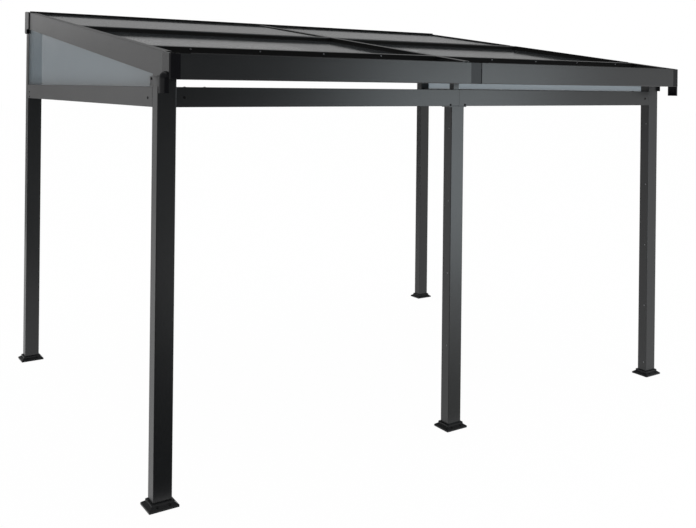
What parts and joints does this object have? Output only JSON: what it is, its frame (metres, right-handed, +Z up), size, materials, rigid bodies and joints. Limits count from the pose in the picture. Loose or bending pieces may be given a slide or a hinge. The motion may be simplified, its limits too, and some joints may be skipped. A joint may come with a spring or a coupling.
{
  "type": "lean_to_pergola",
  "caption": "Free-standing lean-to pergola: slender rectangular posts, a front header, sloping rafters holding translucent roof and gable sheets, and a gutter along the low edge.",
  "frame": {"origin": "centre of the bounding box on the ground", "axes": "X runs along the front from left to right, Y from the low front to the high rear, Z is up"},
  "size_m": [4.358, 3.269, 2.9133],
  "materials": {
    "frame_metal": "dark grey satin powder coat",
    "black_moulding": "black moulded plastic, satin",
    "clear_sheet": "grey tinted translucent sheet, smooth"
  },
  "bodies": {
    "root": {"foot_front_left": "frame_metal", "post_front_left": "frame_metal", "foot_front_middle": "frame_metal", "post_front_middle": "frame_metal", "foot_front_right": "frame_metal", "post_front_right": "frame_metal", "foot_rear_left": "frame_metal", "post_rear_left": "frame_metal", "foot_rear_right": "frame_metal", "post_rear_right": "frame_metal", "header_left": "frame_metal", "header_right": "frame_metal", "header_seat": "frame_metal", "rafter_stub": "frame_metal", "side_beam_left": "frame_metal", "side_beam_right": "frame_metal", "rafter_left": "frame_metal", "rafter_middle": "frame_metal", "rafter_right": "frame_metal", "rear_beam_left": "frame_metal", "rear_beam_right": "frame_metal", "rear_cap_left": "frame_metal", "rear_cap_right": "frame_metal", "front_bar_left": "frame_metal", "front_bar_right": "frame_metal", "purlin_left": "frame_metal", "purlin_right": "frame_metal", "flashing_left": "frame_metal", "flashing_right": "frame_metal", "gutter_left": "frame_metal", "gutter_right": "frame_metal", "gutter_joint": "black_moulding", "gutter_end_left": "black_moulding", "gutter_end_right": "black_moulding", "roof_lower_left": "clear_sheet", "roof_lower_right": "clear_sheet", "roof_upper_left": "clear_sheet", "roof_upper_right": "clear_sheet", "gable_left": "clear_sheet", "gable_right": "clear_sheet"}
  },
  "joints": []
}
